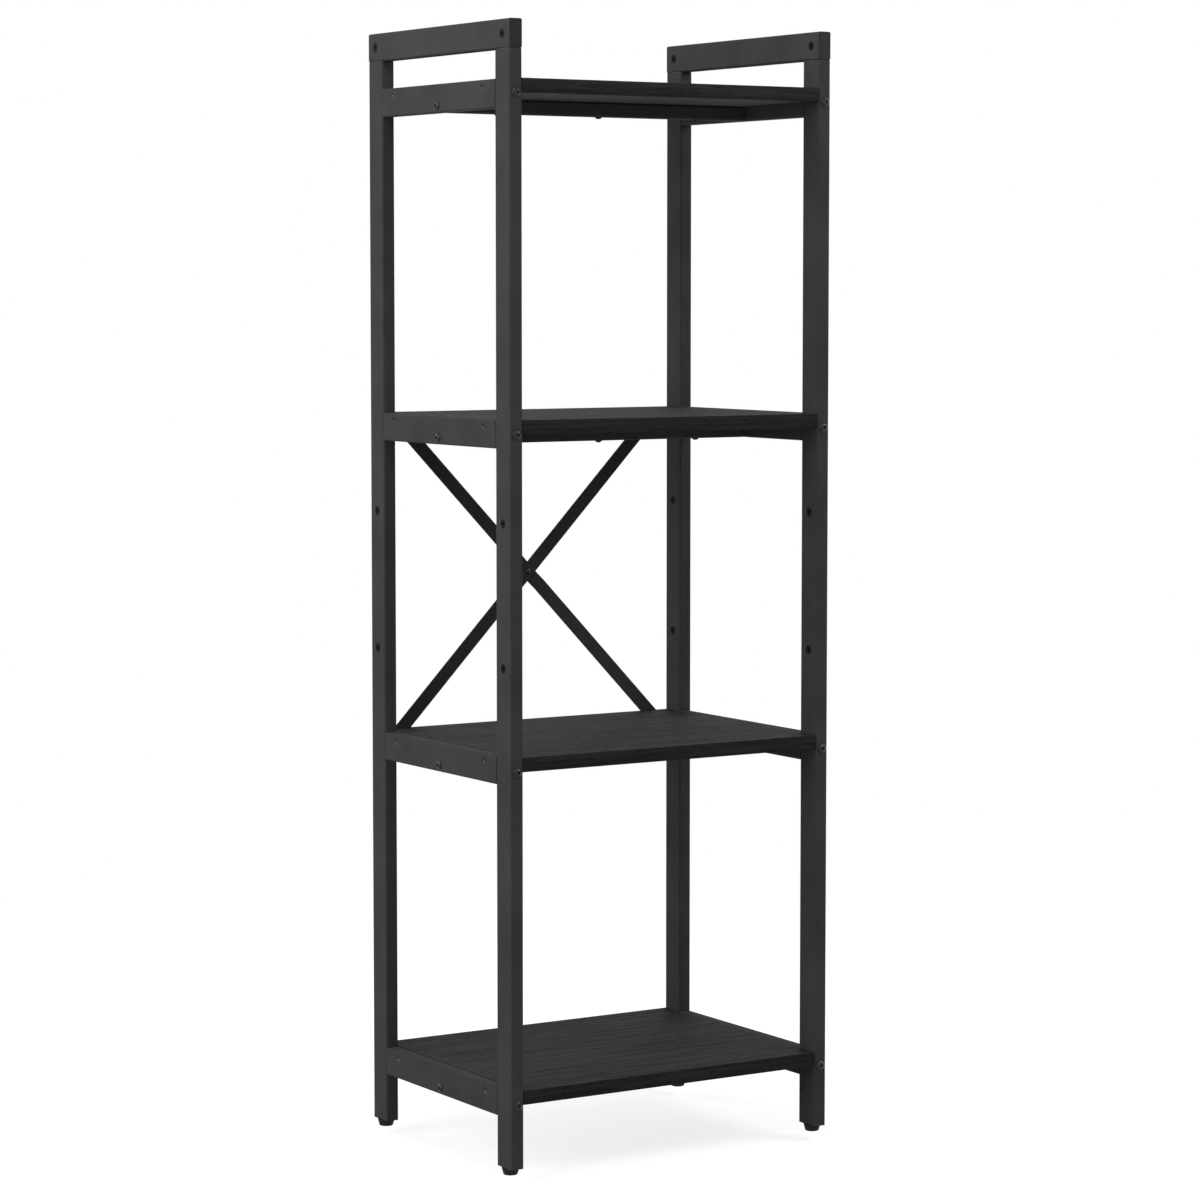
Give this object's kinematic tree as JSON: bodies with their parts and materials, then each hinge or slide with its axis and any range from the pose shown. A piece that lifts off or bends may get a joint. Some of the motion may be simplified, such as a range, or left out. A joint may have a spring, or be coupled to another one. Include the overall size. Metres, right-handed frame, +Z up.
{
  "type": "open bookcase",
  "caption": "Tall narrow open bookcase: flat-tube steel side frames with bolted wood-grain boards, an X brace at the back, top rails and levelling feet.",
  "frame": {"origin": "on the floor, under the middle of the frame, with the feet screwed fully in", "axes": "+X to the right seen from the front, +Y to the back, +Z up; the front faces -Y"},
  "size_m": [0.4052, 0.3069, 1.197],
  "materials": {
    "powder_coated_steel": "satin black powder coat",
    "laminated_board": "matt black wood-grain laminate on particle board",
    "black_fasteners": "black zinc on steel",
    "zinc_plated_steel": "clear zinc plating",
    "black_plastic": "moulded, matt"
  },
  "bodies": {
    "frame": {"bar_bolts": "black_fasteners", "bar_plugs": "zinc_plated_steel", "barrel_nuts": "black_fasteners", "brace_bar_flat": "powder_coated_steel", "brace_bar_raised": "powder_coated_steel", "brace_rivet": "black_fasteners", "brace_screws": "black_fasteners", "cross_bar_1": "powder_coated_steel", "cross_bar_2": "powder_coated_steel", "cross_bar_3": "powder_coated_steel", "cross_bar_4": "powder_coated_steel", "key_bolts": "black_fasteners", "lower_post_front_left": "powder_coated_steel", "lower_post_front_right": "powder_coated_steel", "lower_post_rear_left": "powder_coated_steel", "lower_post_rear_right": "powder_coated_steel", "post_bolts": "black_fasteners", "post_insert_front_left": "black_plastic", "post_insert_front_right": "black_plastic", "post_insert_rear_left": "black_plastic", "post_insert_rear_right": "black_plastic", "rail_plugs": "zinc_plated_steel", "rail_screws": "black_fasteners", "shelf_board_1": "laminated_board", "shelf_board_2": "laminated_board", "shelf_board_3": "laminated_board", "shelf_board_4": "laminated_board", "side_rail_1_left": "powder_coated_steel", "side_rail_1_right": "powder_coated_steel", "side_rail_2_left": "powder_coated_steel", "side_rail_2_right": "powder_coated_steel", "side_rail_3_left": "powder_coated_steel", "side_rail_3_right": "powder_coated_steel", "side_rail_4_left": "powder_coated_steel", "side_rail_4_right": "powder_coated_steel", "splice_sleeves": "zinc_plated_steel", "top_cap_front_left": "black_plastic", "top_cap_front_right": "black_plastic", "top_cap_rear_left": "black_plastic", "top_cap_rear_right": "black_plastic", "top_connectors": "zinc_plated_steel", "top_rail_left": "powder_coated_steel", "top_rail_right": "powder_coated_steel", "under_screws": "black_fasteners", "upper_post_front_left": "powder_coated_steel", "upper_post_front_right": "powder_coated_steel", "upper_post_rear_left": "powder_coated_steel", "upper_post_rear_right": "powder_coated_steel"},
    "foot_front_left": {"foot_base_front_left": "black_plastic", "foot_stud_front_left": "zinc_plated_steel"},
    "foot_rear_left": {"foot_base_rear_left": "black_plastic", "foot_stud_rear_left": "zinc_plated_steel"},
    "foot_front_right": {"foot_base_front_right": "black_plastic", "foot_stud_front_right": "zinc_plated_steel"},
    "foot_rear_right": {"foot_base_rear_right": "black_plastic", "foot_stud_rear_right": "zinc_plated_steel"}
  },
  "joints": [
    {"name": "foot_front_left_level", "type": "slide", "parent": "frame", "child": "foot_front_left", "axis": [0, 0, -1], "range_m": [0, 0.01]},
    {"name": "foot_rear_left_level", "type": "slide", "parent": "frame", "child": "foot_rear_left", "axis": [0, 0, -1], "range_m": [0, 0.01]},
    {"name": "foot_front_right_level", "type": "slide", "parent": "frame", "child": "foot_front_right", "axis": [0, 0, -1], "range_m": [0, 0.01]},
    {"name": "foot_rear_right_level", "type": "slide", "parent": "frame", "child": "foot_rear_right", "axis": [0, 0, -1], "range_m": [0, 0.01]}
  ]
}
